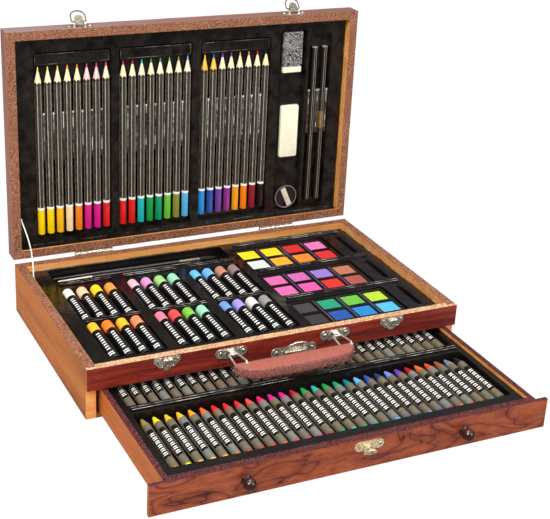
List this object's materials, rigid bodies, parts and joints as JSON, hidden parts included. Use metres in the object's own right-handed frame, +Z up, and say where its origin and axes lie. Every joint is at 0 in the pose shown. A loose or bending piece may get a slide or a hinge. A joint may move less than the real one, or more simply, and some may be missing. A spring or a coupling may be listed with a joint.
{
  "type": "artist's drawing case",
  "caption": "Wooden artist's case with an open hinged lid and a pulled-out drawer, its moulded trays filled with pencils, crayons, pastels, paint pans and brushes.",
  "frame": {"origin": "centre of the case's underside, on the surface it stands on", "axes": "+X to the case's right seen from the drawer side, +Y to the back, +Z up"},
  "size_m": [0.384, 0.4289, 0.3059],
  "materials": {
    "case_wood": "satin lacquer",
    "rail_wood": "satin lacquer",
    "tray_plastic": "gloss black, vacuum formed",
    "black_paper": "matt",
    "palette_plastic": "black",
    "paint_cake": "pressed colour, matt",
    "brush_wood": "lacquered",
    "antique_nickel": "antique nickel plate",
    "burl_wood": "gloss lacquer",
    "drawer_wood": "satin lacquer",
    "wrapper_paper": "matt",
    "knob_wood": "gloss lacquer",
    "brass": "lacquered",
    "pencil_paint": "painted",
    "stick_paint": "painted",
    "eraser_rubber": "matt",
    "foil": "clear film",
    "sharpener": "moulded",
    "white_cord": "twisted",
    "steel_wire": "plated",
    "leatherette": "grained"
  },
  "bodies": {
    "case": {"left_side_panel": "case_wood", "right_side_panel": "case_wood", "back_panel": "case_wood", "front_rail": "rail_wood", "bottom_panel": "case_wood", "drawer_shelf": "case_wood", "drawer_stop_batten": "case_wood", "drawer_guide_batten": "case_wood", "base_tray": "tray_plastic", "oil_pastels": "black_paper", "palette_front": "palette_plastic", "palette_middle": "palette_plastic", "palette_back": "palette_plastic", "paint_pans": "paint_cake", "paint_brushes": "brush_wood", "hinge_leaves_base": "antique_nickel", "hinge_pins": "antique_nickel", "latch_keepers": "antique_nickel", "handle_brackets": "antique_nickel", "hasp_plate": "antique_nickel"},
    "drawer": {"drawer_front": "burl_wood", "drawer_box_front": "drawer_wood", "drawer_box_left": "drawer_wood", "drawer_box_right": "drawer_wood", "drawer_box_back": "drawer_wood", "drawer_bottom": "drawer_wood", "drawer_tray": "tray_plastic", "front_crayons": "wrapper_paper", "back_crayons": "wrapper_paper", "drawer_knobs": "knob_wood", "catch_plate": "brass"},
    "catch": {"catch_turn": "antique_nickel"},
    "lid": {"lid_front_rail": "case_wood", "lid_right_rail": "case_wood", "lid_back_rail": "case_wood", "lid_left_rail": "case_wood", "lid_panel": "case_wood", "lid_tray": "tray_plastic", "coloured_pencils": "pencil_paint", "drawing_sticks": "stick_paint", "eraser": "eraser_rubber", "wrapped_bar": "foil", "sharpener_body": "sharpener", "sharpener_blade": "antique_nickel", "hinge_leaves_lid": "antique_nickel", "latch_plates": "antique_nickel", "latch_pins": "antique_nickel", "lid_stay_cord": "white_cord"},
    "left_lever": {"left_latch_lever": "antique_nickel"},
    "right_lever": {"right_latch_lever": "antique_nickel"},
    "left_bail": {"left_latch_bail": "steel_wire"},
    "right_bail": {"right_latch_bail": "steel_wire"},
    "handle": {"handle_grip": "leatherette", "handle_wires": "steel_wire"},
    "ring": {"hasp_ring": "steel_wire"}
  },
  "joints": [
    {"name": "lid_hinge", "type": "hinge", "parent": "case", "child": "lid", "pos_m": [0, 0.121, 0.0526], "axis": [-1, 0, 0], "range_deg": [-90.7, 0], "deforming": ["lid_stay_cord"]},
    {"name": "drawer_slide", "type": "slide", "parent": "case", "child": "drawer", "axis": [0, 1, 0], "range_m": [0, 0.155]},
    {"name": "catch_turn", "type": "hinge", "parent": "drawer", "child": "catch", "pos_m": [0.0067, -0.273, 0.0194], "axis": [0, 1, 0], "range_deg": [0, 90]},
    {"name": "handle_hinge", "type": "hinge", "parent": "case", "child": "handle", "pos_m": [0, -0.1226, 0.045], "axis": [-1, 0, 0], "range_deg": [0, 90]},
    {"name": "left_lever_hinge", "type": "hinge", "parent": "lid", "child": "left_lever", "pos_m": [-0.117, 0.12965, 0.29421], "axis": [1, 0, 0], "range_deg": [-50, 15]},
    {"name": "right_lever_hinge", "type": "hinge", "parent": "lid", "child": "right_lever", "pos_m": [0.117, 0.12965, 0.29421], "axis": [1, 0, 0], "range_deg": [-50, 15]},
    {"name": "left_bail_hinge", "type": "hinge", "parent": "left_lever", "child": "left_bail", "pos_m": [-0.117, 0.13161, 0.29649], "axis": [1, 0, 0], "range_deg": [-5, 112]},
    {"name": "right_bail_hinge", "type": "hinge", "parent": "right_lever", "child": "right_bail", "pos_m": [0.117, 0.13161, 0.29649], "axis": [1, 0, 0], "range_deg": [-5, 112]},
    {"name": "ring_hinge", "type": "hinge", "parent": "case", "child": "ring", "pos_m": [0.011, -0.1208, 0.0354], "axis": [1, 0, 0], "range_deg": [0, 88]}
  ]
}
